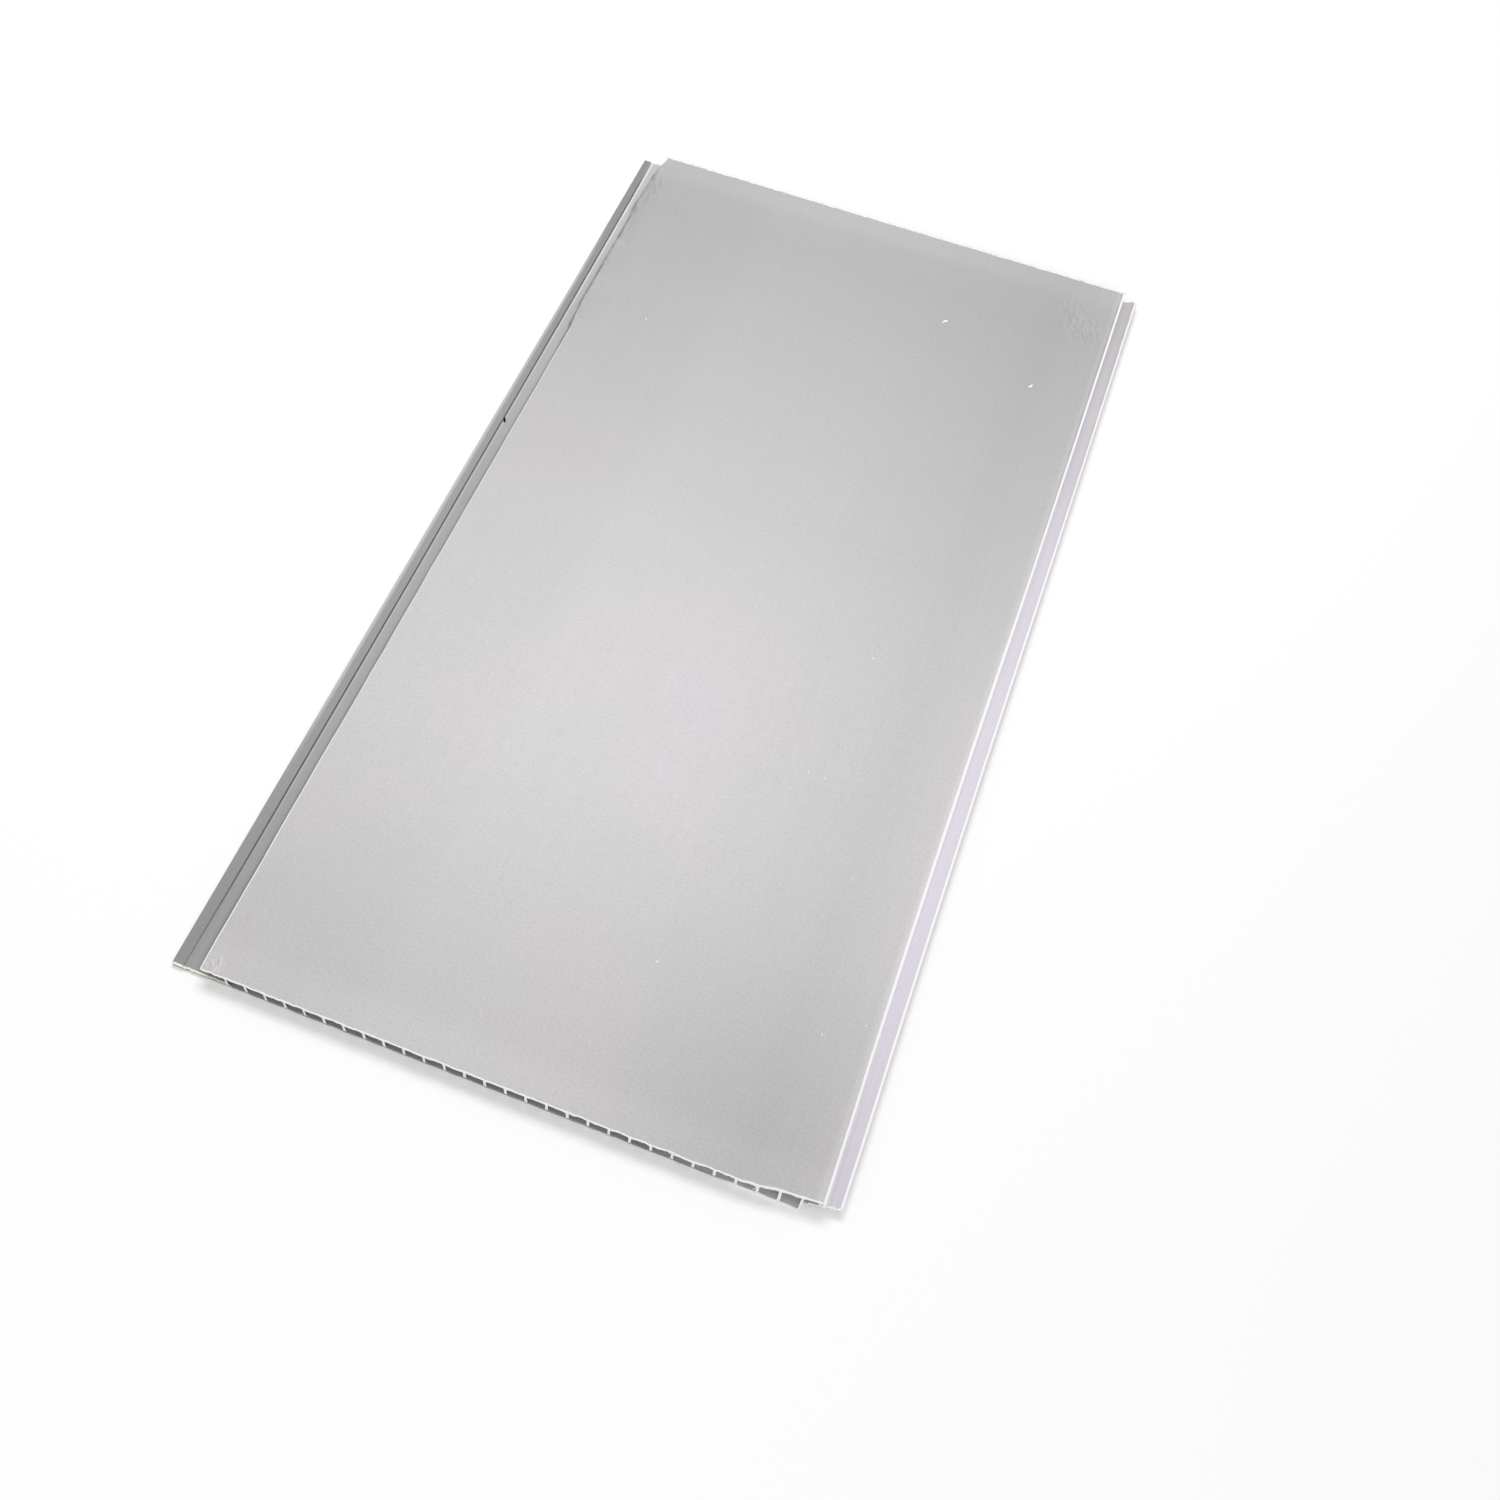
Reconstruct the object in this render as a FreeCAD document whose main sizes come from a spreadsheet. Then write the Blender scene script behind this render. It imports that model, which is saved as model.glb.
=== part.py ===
import FreeCAD, Part
import math
import os
import Sketcher

# A hollow ceiling strip of rigid PVC, lying on its back with the finished face up.
# X runs across the strip from the screw flange to the tongue, Y along it, Z up from the back.
# Places across the strip are counted from the flange's outer edge; the body's placement then
# centres the strip on the origin.

doc = FreeCAD.newDocument("ceiling_strip")

# Driving dimensions in millimetres
DIMENSIONS = [
    ("length", 500.0, "along the strip, saw cut to saw cut"),
    ("face_width", 251.2, "the finished face, lip to tongue side"),
    ("thickness", 7.5, "back to face"),
    ("face_skin", 0.8, "wall under the finished face"),
    ("back_skin", 0.8, "wall at the back"),
    ("web", 0.6, "upright wall between two cells"),
    ("cell_count", 28, "full-depth cells side by side"),
    ("cell_corner", 0.45, "inside radius of every cell"),
    ("groove_depth", 10.45, "how far the lip overhangs the groove"),
    ("flange_reach", 13.2, "flange past the lip"),
    ("flange_skin", 1.1, "wall of the flange and of the groove's floor"),
    ("screw_band", 4.6, "width of the thicker band that the screws go through"),
    ("band_rise", 0.55, "how far that band stands over the flange"),
    ("score_width", 0.5, "sighting line beside the screw band"),
    ("score_depth", 0.35, "depth of that line"),
    ("recess_width", 7.75, "open back between the last web and the face's edge"),
    ("edge_wall", 0.8, "upright wall under the face's edge"),
    ("tongue_reach", 7.0, "tongue past the face"),
    ("tongue_drop", 3.9, "face down to the tongue"),
    ("tongue_skin", 1.0, "wall of the tongue"),
    ("rim_radius", 0.7, "round rim at the tongue's tip"),
    ("face_edge_radius", 0.35, "rounding of the face's two long edges"),
    ("flange_edge_radius", 0.35, "rounding of the flange's outer edge"),
    ("inner_radius", 0.4, "fillet where a wall meets the flange, the lip or the tongue"),
    ("cut_run", 53.2, "stretch of the near end where the saw wandered in"),
    ("cut_back", 3.4, "how much is missing there at the face's corner"),
    ("cut_lean", 22.0, "degrees that this cut leans, so that it runs out towards the back"),
    ("tongue_short", 4.4, "how much of the tongue's tip is missing"),
    ("cut_margin", 8.0, "how far a cutting shape stands clear of the strip"),
]

# Places and lengths worked out from the dimensions above
DERIVED = [
    ("lip_x", "=flange_reach"),
    ("face_end_x", "=lip_x + face_width"),
    ("tip_x", "=face_end_x + tongue_reach"),
    ("groove_end_x", "=lip_x + groove_depth"),
    ("recess_x", "=face_end_x - recess_width"),
    ("edge_wall_x", "=face_end_x - edge_wall"),
    ("lip_under", "=thickness - face_skin"),
    ("tongue_top", "=thickness - tongue_drop"),
    ("tongue_under", "=tongue_top - tongue_skin"),
    ("band_top", "=flange_skin + band_rise"),
    ("score_low", "=flange_skin - score_depth"),
    ("score_end_x", "=screw_band + score_width"),
    ("rim_x", "=tip_x - rim_radius"),
    ("rim_z", "=tongue_top - tongue_skin / 2"),
    ("pitch", "=(recess_x - groove_end_x - web) / cell_count"),
    ("cell_low_x", "=groove_end_x + web"),
    ("cell_high_x", "=groove_end_x + pitch"),
    ("pattern_run", "=pitch * (cell_count - 1)"),
    ("lip_rounding", "=min(face_edge_radius; 0.45 * face_skin)"),
    ("saw_start_x", "=face_end_x - cut_run"),
    ("saw_end_x", "=tip_x + cut_margin"),
    ("saw_run", "=saw_end_x - saw_start_x"),
    ("saw_slope", "=cut_back / cut_run"),
    ("saw_back", "=-saw_slope"),
    ("saw_high_y", "=cut_margin + saw_slope * saw_run"),
    ("saw_low_y", "=saw_high_y - thickness * tan(cut_lean * 1deg)"),
    ("tongue_root_y", "=cut_margin + cut_back"),
    ("tongue_slope", "=(tongue_short - cut_back) / tongue_reach"),
    ("tongue_end_y", "=tongue_root_y + tongue_slope * (saw_end_x - face_end_x)"),
    ("saw_y", "=-length / 2 - cut_margin"),
    ("centre_shift", "=-tip_x / 2"),
]

sheet = doc.addObject("Spreadsheet::Sheet", "sizes")
sheet.Label = "sizes"
for row, (alias, value, meaning) in enumerate(DIMENSIONS, start=1):
    sheet.set("A%d" % row, alias)
    sheet.set("B%d" % row, str(value))
    sheet.set("C%d" % row, meaning)
    sheet.setAlias("B%d" % row, alias)
for row, (alias, formula) in enumerate(DERIVED, start=len(DIMENSIONS) + 1):
    sheet.set("A%d" % row, alias)
    sheet.set("B%d" % row, formula)
    sheet.setAlias("B%d" % row, alias)
doc.recompute()


def size(alias):
    """The present value of a cell of the sheet; no alias means the sketch's own zero."""
    return float(sheet.get(alias)) if alias else 0.0


def bind(thing, prop, alias):
    """Let a cell of the sheet drive a property."""
    thing.setExpression(prop, "sizes." + alias)


body = doc.addObject("PartDesign::Body", "ceiling_strip")
body.Label = "ceiling_strip"
planes = {feature.Role: feature for feature in body.Origin.OriginFeatures}


def new_sketch(name, role):
    """An empty sketch on one of the body's own origin planes."""
    sketch = body.newObject("Sketcher::SketchObject", name)
    sketch.AttachmentSupport = [(planes[role], "")]
    sketch.MapMode = "FlatFace"
    return sketch


def drive(sketch, kind, place, alias):
    """Add one dimension to a sketch and let the sheet drive it."""
    index = sketch.addConstraint(Sketcher.Constraint(kind, *place, size(alias)))
    if alias:
        bind(sketch, "Constraints[%d]" % index, alias)


def outline(sketch, points):
    """A closed outline of straight lines through points given as pairs of aliases."""
    corners = [FreeCAD.Vector(size(across), size(up), 0) for across, up in points]
    count = len(corners)
    for i in range(count):
        sketch.addGeometry(Part.LineSegment(corners[i], corners[(i + 1) % count]), False)
    for i in range(count):
        sketch.addConstraint(Sketcher.Constraint("Coincident", i, 2, (i + 1) % count, 1))
    for i, (across, up) in enumerate(points):
        drive(sketch, "DistanceX", (-1, 1, i, 1), across)
        drive(sketch, "DistanceY", (-1, 1, i, 1), up)


def rounded_box(sketch, low_x, high_x, low_z, high_z):
    """The hollow of a cell: a rectangle whose corners have the cell's inside radius."""
    x0, x1, z0, z1 = (size(alias) for alias in (low_x, high_x, low_z, high_z))
    r = size("cell_corner")
    sides = [((x0 + r, z0), (x1 - r, z0)), ((x1, z0 + r), (x1, z1 - r)),
             ((x1 - r, z1), (x0 + r, z1)), ((x0, z1 - r), (x0, z0 + r))]
    centres = [(x1 - r, z0 + r), (x1 - r, z1 - r), (x0 + r, z1 - r), (x0 + r, z0 + r)]
    for start, end in sides:
        line = Part.LineSegment(FreeCAD.Vector(*start, 0), FreeCAD.Vector(*end, 0))
        sketch.addGeometry(line, False)
    quarter = math.pi / 2
    for i, centre in enumerate(centres):
        circle = Part.Circle(FreeCAD.Vector(*centre, 0), FreeCAD.Vector(0, 0, 1), r)
        sketch.addGeometry(Part.ArcOfCircle(circle, (i - 1) * quarter, i * quarter), False)
    for i in range(4):
        sketch.addConstraint(Sketcher.Constraint("Tangent", i, 2, 4 + i, 1))
        sketch.addConstraint(Sketcher.Constraint("Tangent", 4 + i, 2, (i + 1) % 4, 1))
        sketch.addConstraint(Sketcher.Constraint("Vertical" if i % 2 else "Horizontal", i))
    for i in range(1, 4):
        sketch.addConstraint(Sketcher.Constraint("Equal", 4, 4 + i))
    drive(sketch, "DistanceY", (-1, 1, 0, 1), low_z)
    drive(sketch, "DistanceX", (-1, 1, 1, 1), high_x)
    drive(sketch, "DistanceY", (-1, 1, 2, 1), high_z)
    drive(sketch, "DistanceX", (-1, 1, 3, 1), low_x)
    drive(sketch, "Radius", (4,), "cell_corner")


def full_length_pad(name, sketch):
    """Extrude a sketch along the whole strip, half of it each way from the middle."""
    pad = body.newObject("PartDesign::Pad", name)
    pad.Profile = sketch
    pad.Midplane = True
    bind(pad, "Length", "length")
    doc.recompute()


def through_cut(name, sketch):
    """Cut a sketch right through the strip, both ways from its plane."""
    volume = body.Shape.Volume
    pocket = body.newObject("PartDesign::Pocket", name)
    pocket.Profile = sketch
    pocket.Type = "ThroughAll"
    pocket.Midplane = True
    doc.recompute()
    must_shrink(volume, pocket)
    return pocket


def must_shrink(before, feature):
    """A cut that points away from the solid removes nothing, so the volume has to drop."""
    if not feature.Shape.Volume < before - 1.0:
        raise RuntimeError(feature.Name + " cuts nothing")


def long_edges(places):
    """Names of the body's edges that run along Y through the given places of the section."""
    near = 0.01
    wanted = [(size(across), size(up)) for across, up in places]
    names = []
    for number, edge in enumerate(body.Tip.Shape.Edges, start=1):
        box = edge.BoundBox
        runs_along = box.YLength > size("length") / 2 and max(box.XLength, box.ZLength) < near
        if runs_along and any(abs(box.Center.x - x) < near and abs(box.Center.z - z) < near
                              for x, z in wanted):
            names.append("Edge%d" % number)
    if len(names) != len(places):
        raise RuntimeError("found %d of %d edges to round" % (len(names), len(places)))
    return names


def round_edges(name, places, radius):
    """Round the long edges at the given places of the section."""
    base = body.Tip
    names = long_edges(places)
    fillet = body.newObject("PartDesign::Fillet", name)
    fillet.Base = (base, names)
    bind(fillet, "Radius", radius)
    doc.recompute()


# The section: back, open back by the tongue, tongue, face, lip, groove and screw flange
section = new_sketch("section", "XZ_Plane")
outline(section, [
    (None, None),
    ("recess_x", None),
    ("recess_x", "tongue_under"),
    ("tip_x", "tongue_under"),
    ("tip_x", "tongue_top"),
    ("face_end_x", "tongue_top"),
    ("face_end_x", "thickness"),
    ("lip_x", "thickness"),
    ("lip_x", "lip_under"),
    ("groove_end_x", "lip_under"),
    ("groove_end_x", "flange_skin"),
    ("score_end_x", "flange_skin"),
    ("screw_band", "score_low"),
    ("screw_band", "band_top"),
    (None, "band_top"),
])
full_length_pad("strip", section)

round_edges("face_edges", [("lip_x", "thickness"), ("face_end_x", "thickness")], "lip_rounding")
round_edges("flange_edges", [(None, None), (None, "band_top")], "flange_edge_radius")
round_edges("inner_corners", [
    ("recess_x", "tongue_under"),
    ("face_end_x", "tongue_top"),
    ("groove_end_x", "lip_under"),
    ("groove_end_x", "flange_skin"),
], "inner_radius")

# Round rim along the tongue's tip
rim_outline = new_sketch("rim_outline", "XZ_Plane")
rim_centre = FreeCAD.Vector(size("rim_x"), size("rim_z"), 0)
rim_circle = Part.Circle(rim_centre, FreeCAD.Vector(0, 0, 1), size("rim_radius"))
rim_outline.addGeometry(rim_circle, False)
drive(rim_outline, "DistanceX", (-1, 1, 0, 3), "rim_x")
drive(rim_outline, "DistanceY", (-1, 1, 0, 3), "rim_z")
drive(rim_outline, "Radius", (0,), "rim_radius")
full_length_pad("tongue_rim", rim_outline)

# Full-depth cells: one is cut through the whole length and repeated across the strip
cell_outline = new_sketch("cell_outline", "XZ_Plane")
rounded_box(cell_outline, "cell_low_x", "cell_high_x", "back_skin", "lip_under")
first_cell = through_cut("first_cell", cell_outline)

solid_volume = body.Shape.Volume
cells = body.newObject("PartDesign::LinearPattern", "cells")
cells.Originals = [first_cell]
cells.Direction = (cell_outline, ["H_Axis"])
bind(cells, "Length", "pattern_run")
bind(cells, "Occurrences", "cell_count")
body.Tip = cells
doc.recompute()
must_shrink(solid_volume, cells)

# Shallow closed cell over the open back, between the last web and the face's edge
shallow_outline = new_sketch("shallow_outline", "XZ_Plane")
rounded_box(shallow_outline, "recess_x", "edge_wall_x", "tongue_top", "lip_under")
through_cut("shallow_cell", shallow_outline)

# The saw wandered at the near end. A long thin corner is missing by the tongue, and the cut leans,
# so that more of the face is gone than of the back. Its profile stands beside the tongue and runs
# back along the line of the cut.
saw_outline = new_sketch("saw_outline", "YZ_Plane")
bind(saw_outline, "AttachmentOffset.Base.x", "saw_y")
bind(saw_outline, "AttachmentOffset.Base.z", "saw_end_x")
outline(saw_outline, [
    (None, None),
    ("saw_low_y", None),
    ("saw_high_y", "thickness"),
    (None, "thickness"),
])
uncut_volume = body.Shape.Volume
saw_cut = body.newObject("PartDesign::Pocket", "saw_cut")
saw_cut.Profile = saw_outline
saw_cut.UseCustomVector = True
saw_cut.AlongSketchNormal = True
saw_cut.Direction = FreeCAD.Vector(-1, -size("saw_slope"), 0)
bind(saw_cut, "Direction.y", "saw_back")
bind(saw_cut, "Length", "saw_run")
doc.recompute()
must_shrink(uncut_volume, saw_cut)

# The tongue has broken off shorter still
break_outline = new_sketch("break_outline", "XY_Plane")
bind(break_outline, "AttachmentOffset.Base.y", "saw_y")
outline(break_outline, [
    ("face_end_x", None),
    ("saw_end_x", None),
    ("saw_end_x", "tongue_end_y"),
    ("face_end_x", "tongue_root_y"),
])
through_cut("tongue_break", break_outline)

bind(body, "Placement.Base.x", "centre_shift")
doc.recompute()

for thing in doc.Objects:
    if "Invalid" in thing.State or "Error" in thing.State:
        raise RuntimeError(thing.Name + " failed: " + str(thing.State))
if body.Shape.isNull() or not body.Shape.isValid() or len(body.Shape.Solids) != 1:
    raise RuntimeError("the strip is not one valid solid")

os.makedirs("parts", exist_ok=True)
body.Shape.exportStep("parts/" + body.Label + ".step")
print("volume", round(body.Shape.Volume), "box", body.Shape.BoundBox)
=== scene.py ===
import math

import bmesh
import bpy
import numpy as np
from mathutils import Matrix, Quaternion, Vector, noise


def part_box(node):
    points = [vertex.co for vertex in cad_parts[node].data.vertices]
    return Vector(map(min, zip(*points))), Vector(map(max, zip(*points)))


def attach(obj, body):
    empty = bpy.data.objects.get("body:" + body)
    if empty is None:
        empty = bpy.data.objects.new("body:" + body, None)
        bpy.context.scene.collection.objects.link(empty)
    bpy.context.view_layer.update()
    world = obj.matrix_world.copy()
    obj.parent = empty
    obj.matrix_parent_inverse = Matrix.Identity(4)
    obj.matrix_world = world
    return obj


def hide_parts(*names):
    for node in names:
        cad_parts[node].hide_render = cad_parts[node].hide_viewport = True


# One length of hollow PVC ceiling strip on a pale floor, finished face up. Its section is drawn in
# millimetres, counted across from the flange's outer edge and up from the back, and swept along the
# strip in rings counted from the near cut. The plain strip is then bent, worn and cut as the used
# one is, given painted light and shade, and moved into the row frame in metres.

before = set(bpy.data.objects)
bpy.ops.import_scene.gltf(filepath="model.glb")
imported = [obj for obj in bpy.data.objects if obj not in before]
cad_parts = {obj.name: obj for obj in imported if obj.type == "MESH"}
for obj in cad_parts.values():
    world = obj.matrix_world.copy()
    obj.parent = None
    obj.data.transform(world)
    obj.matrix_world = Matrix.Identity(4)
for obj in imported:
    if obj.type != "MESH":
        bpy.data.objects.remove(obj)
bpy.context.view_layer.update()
low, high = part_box("ceiling_strip")
MM = 0.001
WIDTH = (high.x - low.x) / MM
LENGTH = (high.y - low.y) / MM
THICKNESS = (high.z - low.z) / MM

# Room kept inside the frame's box for shavings on the face and for burrs at the two cuts
FACE_SINK = 0.10
NEAR_INSET = 0.15
FAR_INSET = 0.45

# Places across the section. What lies past TONGUE_FROM_X belongs to the tongue.
LIP_X = 13.2
FACE_END_X = LIP_X + 251.2
RECESS_X = FACE_END_X - 7.75
EDGE_WALL_X = FACE_END_X - 0.8
GROOVE_END_X = LIP_X + 10.45
BAND_X = 4.6
SCORE_X = 5.1
RIM_START_X = WIDTH - 1.15
# White along the face's right edge, partly rubbed bare and partly a painted highlight on its rounding
WHITE_EDGE = 1.05
WIDE_WHITE_EDGE = 1.5
# Width of the painted highlight along the lip's edge
LIP_HIGHLIGHT = 0.55
# Painted shade in the groove under the lip starts here
GROOVE_SHADE_START_X = 10.2
FINE_TO_X = LIP_X + 14.0
BRIGHT_TO_X = SCORE_X + 1.2
TONGUE_FROM_X = FACE_END_X + 0.3

# Heights in the section. What lies above IN_FACE_Z belongs to the face's skin.
FACE_Z = THICKNESS - FACE_SINK
SKIN = 0.8
UNDER_FACE_Z = THICKNESS - SKIN
IN_FACE_Z = UNDER_FACE_Z - 0.2
FLANGE_Z = 1.1
BAND_Z = 1.65
SCORE_Z = 0.75
TONGUE_Z = 3.6
TONGUE_UNDER_Z = 2.6

# Walls, cells and roundings
WEB = 0.6
CELLS = 28
PITCH = (RECESS_X - GROOVE_END_X - WEB) / CELLS
RIM_RADIUS = 0.7
EDGE_RADIUS = 0.35
SMALL_RADIUS = 0.12
CORNER_RADIUS = 0.45
WHITE_EDGE_RADIUS = 0.2

# Steps between points of the section: on the back, on what shows, where it is creased, in the cells
BACK_STEP = 2.4
FACE_STEP = 0.8
FINE_STEP = 0.4
CELL_STEP = 1.9

# Near cut: the saw wandered off by the tongue and leaned. Its line is in (across, set back) pairs.
SAW_BACK = 3.4
SAW_LINE = [(231.0, 0.0), (240.0, 0.8), (246.0, 1.9), (256.0, 2.65), (FACE_END_X, SAW_BACK)]
SAW_LEAN = math.tan(math.radians(22.0))

# Near cut: the tongue broke off shorter, the floor of the shallow hollow is torn back, more so towards
# the face's edge, and the lip's corner is worn off. In one place the back's skin is flush with the cut.
TONGUE_SHORT = 4.4
TONGUE_INSET = 0.25
HOLLOW_TORN = 2.5
HOLLOW_TORN_MORE = 0.8
LIP_CORNER_BACK = 0.9
BACK_FLUSH_X = 245.5
BACK_FLUSH_HALF = 3.2

# Far cut: the tongue's end runs askew
TONGUE_FAR_BACK = 2.2

# How far along the strip the cuts draw the points with them: the near cut, its edge and the far cut
NEAR_REACH = 30
NEAR_EDGE_REACH = 2.7
FAR_REACH = 4.5

# The narrow bands beside the near cut that show the cut's own colour, and the burr in its cells
CUT_EDGE = 0.45
FLANGE_CUT_EDGE = 0.8
CELL_BURR = 0.24

# The lip by the far end is crumpled: (along, outwards) pairs of its edge
CRUMPLE_START = 366.0
CRUMPLE_EDGE = [(366, 0), (377, 1.0), (388, 1.9), (410, 1.4), (421, 2.2), (436, 1.6), (452, 1.8),
                (464, 3.0), (474, 2.5), (483, 1.8), (492, 1.1), (498, 0.1)]
CRUMPLE_FULL = 2.4
CRUMPLE_DROOP = 1.1

# Small notch in the lip's edge: place along, half width, and how far it goes in and down
NOTCH_Y = 294.0
NOTCH_HALF = 2.6
NOTCH_IN = 0.7
NOTCH_DOWN = 0.3

# Creases of the face beside the crumpled lip, as (along, across) lines
CREASE_WIDTH = 0.45
CREASE_DEPTH = 0.2
CREASE_FADE = 2.0
CREASES = [
    [(471.5, 16.1), (474.1, 15.5), (477.9, 14.1), (481.0, 12.7), (484.2, 11.7), (487.0, 11.3)],
    [(477.2, 17.4), (479.9, 16.8), (482.8, 15.2)],
    [(472.6, 12.0), (475.5, 11.9), (478.5, 10.5), (481.3, 10.1)],
    [(465.0, 14.5), (467.7, 14.2), (470.1, 13.0)],
    [(434.0, 12.6), (436.6, 11.4), (441.3, 10.9), (444.0, 11.3)],
    [(451.0, 12.9), (455.0, 12.0), (459.0, 12.2)],
]

# The sighting line is not quite straight: (along, inwards) pairs. By the cuts its bottom is filled up.
SIGHT_WANDER = [(0, 0.0), (40, 0.4), (210, 0.45), (260, 0.1), (350, 0), (420, -0.2), (480, -0.5),
                (500, -0.8)]
SIGHT_FILL = 0.3

# The tongue's side is not quite straight: (along, inwards) pairs
SIDE_BOW = [(0, 0), (40, 0), (75, 0.2), (110, 0.35), (160, 0.45), (210, 0.4), (255, 0.2), (300, 0),
            (400, 0), (500, 0.1)]

# The face's edge stands out by the near cut, and the flange's edge is drawn in by the far one
FACE_EDGE_OUT = 0.4
FLANGE_EDGE_IN = 0.25

# What changes towards the far part does so between these two places along the strip
FAR_PART = (300, 380)

rng = np.random.default_rng(7)


# Section loops

def arc(centre, radius, start, end, steps):
    """Corners along an arc of the section, from one angle to another in degrees."""
    angles = np.radians(np.linspace(start, end, steps + 1))
    return [(centre[0] + radius * math.cos(a), centre[1] + radius * math.sin(a), 0) for a in angles]


def rounded(corners, steps=3):
    """A closed loop through (across, up, radius) corners; the ones with a radius are right angles."""
    loop = []
    for i, (x, z, radius) in enumerate(corners):
        here = Vector((x, z))
        if not radius:
            loop.append(tuple(here))
            continue
        back = (Vector(corners[i - 1][:2]) - here).normalized()
        ahead = (Vector(corners[(i + 1) % len(corners)][:2]) - here).normalized()
        centre = here + (back + ahead) * radius
        for step in range(steps + 1):
            turn = math.pi / 2 * step / steps
            loop.append(tuple(centre - radius * (ahead * math.cos(turn) + back * math.sin(turn))))
    return loop


def divided(loop, spacing):
    """The loop with its long runs divided, so that the surface can follow fine shapes."""
    fine = []
    for i, (x, z) in enumerate(loop):
        next_x, next_z = loop[(i + 1) % len(loop)]
        run = math.hypot(next_x - x, next_z - z)
        parts = max(1, round(run / spacing((x + next_x) / 2, (z + next_z) / 2)))
        for part in range(parts):
            share = part / parts
            fine.append((x + (next_x - x) * share, z + (next_z - z) * share))
    return fine


def skin_spacing(x, z):
    """Wide steps on the back, narrow ones on the surfaces that show, finer still where creased."""
    if z < 0.01:
        return BACK_STEP
    by_crease = z > UNDER_FACE_Z and x < FINE_TO_X
    return FINE_STEP if by_crease or x < BRIGHT_TO_X else FACE_STEP


def cell_loop(x0, x1, z0, z1):
    """The hollow between two webs."""
    corners = [(x0, z0), (x1, z0), (x1, z1), (x0, z1)]
    return divided(rounded([(x, z, CORNER_RADIUS) for x, z in corners]), lambda x, z: CELL_STEP)


rim_rise = math.degrees(math.asin((TONGUE_Z - TONGUE_UNDER_Z) / 2 / RIM_RADIUS))
rim_centre = (WIDTH - RIM_RADIUS, (TONGUE_Z + TONGUE_UNDER_Z) / 2)
skin_loop = divided(rounded([
    (0, 0, EDGE_RADIUS),
    (RECESS_X, 0, SMALL_RADIUS),
    (RECESS_X, TONGUE_UNDER_Z, EDGE_RADIUS),
    *arc(rim_centre, RIM_RADIUS, 180 + rim_rise, 540 - rim_rise, 14),
    (RIM_START_X, TONGUE_Z, 0),
    (FACE_END_X, TONGUE_Z, EDGE_RADIUS),
    (FACE_END_X, FACE_Z, WHITE_EDGE_RADIUS),
    (FACE_END_X - WHITE_EDGE, FACE_Z, 0),
    (FACE_END_X - WIDE_WHITE_EDGE, FACE_Z, 0),
    (FINE_TO_X, FACE_Z, 0),
    (LIP_X, FACE_Z, EDGE_RADIUS),
    (LIP_X, UNDER_FACE_Z, SMALL_RADIUS),
    (GROOVE_END_X, UNDER_FACE_Z, EDGE_RADIUS),
    (GROOVE_END_X, FLANGE_Z, EDGE_RADIUS),
    (BRIGHT_TO_X, FLANGE_Z, 0),
    (SCORE_X, FLANGE_Z, 0),
    (BAND_X, SCORE_Z, 0),
    (BAND_X, BAND_Z, SMALL_RADIUS),
    (0, BAND_Z, EDGE_RADIUS),
]), skin_spacing)

cell_loops = [
    cell_loop(GROOVE_END_X + WEB + i * PITCH, GROOVE_END_X + (i + 1) * PITCH, SKIN, UNDER_FACE_Z)
    for i in range(CELLS)
]
cell_loops.append(cell_loop(RECESS_X, EDGE_WALL_X, TONGUE_Z, UNDER_FACE_Z))

# Rings along the strip, closer at the cuts and where the lip is crumpled
PLAIN_RING_STEP = 12
CRUMPLE_RING_STEP = 2
CELL_RING_STEP = 50
NEAR_RINGS = [0, CUT_EDGE, FLANGE_CUT_EDGE, 1.7, NEAR_EDGE_REACH, 4, 6, 9, 13, 19, 27]
FAR_RINGS = [LENGTH - gap for gap in (FAR_REACH, 2.5, 1.2, 0.45, 0)]
SKIN_RINGS = [*NEAR_RINGS, *np.arange(38, CRUMPLE_START, PLAIN_RING_STEP),
              *np.arange(CRUMPLE_START, LENGTH - 5, CRUMPLE_RING_STEP), *FAR_RINGS]
CELL_RINGS = [*NEAR_RINGS, *np.arange(50, LENGTH - 20, CELL_RING_STEP), *FAR_RINGS]


# How the plain strip is bent and cut

def shares(value, start, end):
    """0 at start, 1 at end, straight between them."""
    return np.clip((value - start) / (end - start), 0, 1)


def hump(value, middle, half, power=2):
    """1 in the middle, falling off smoothly over a half width to both sides."""
    return np.exp(-((value - middle) / half) ** power)


def wander(places, spacing, height):
    """Smooth random ups and downs along a line, with one random height at every spacing."""
    knots = rng.uniform(-height, height, int((WIDTH + LENGTH) / spacing) + 8)
    at = places / spacing
    left = np.floor(at).astype(int)
    share = at - left
    share = share * share * (3 - 2 * share)
    return knots[left] * (1 - share) + knots[left + 1] * share


def near_cut(x, z):
    """How far the near cut is set back at each place of the section."""
    slope = np.interp(x, *np.array(SAW_LINE).T)
    lean = np.maximum(0, THICKNESS - z) * SAW_LEAN
    by_saw = np.maximum(0, slope - lean)
    tongue = SAW_BACK + (TONGUE_SHORT - SAW_BACK) * shares(x, FACE_END_X, WIDTH)
    # Under the face's edge the shallow hollow is torn further back than the saw went
    torn = HOLLOW_TORN + HOLLOW_TORN_MORE * shares(x, RECESS_X, FACE_END_X)
    in_hollow = shares(x, RECESS_X - 0.1, RECESS_X + 0.9) * shares(x, FACE_END_X + 0.4, FACE_END_X - 0.1)
    by_saw += np.maximum(0, torn - by_saw) * in_hollow
    return np.where(x > TONGUE_FROM_X, np.maximum(by_saw, tongue), by_saw)


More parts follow.
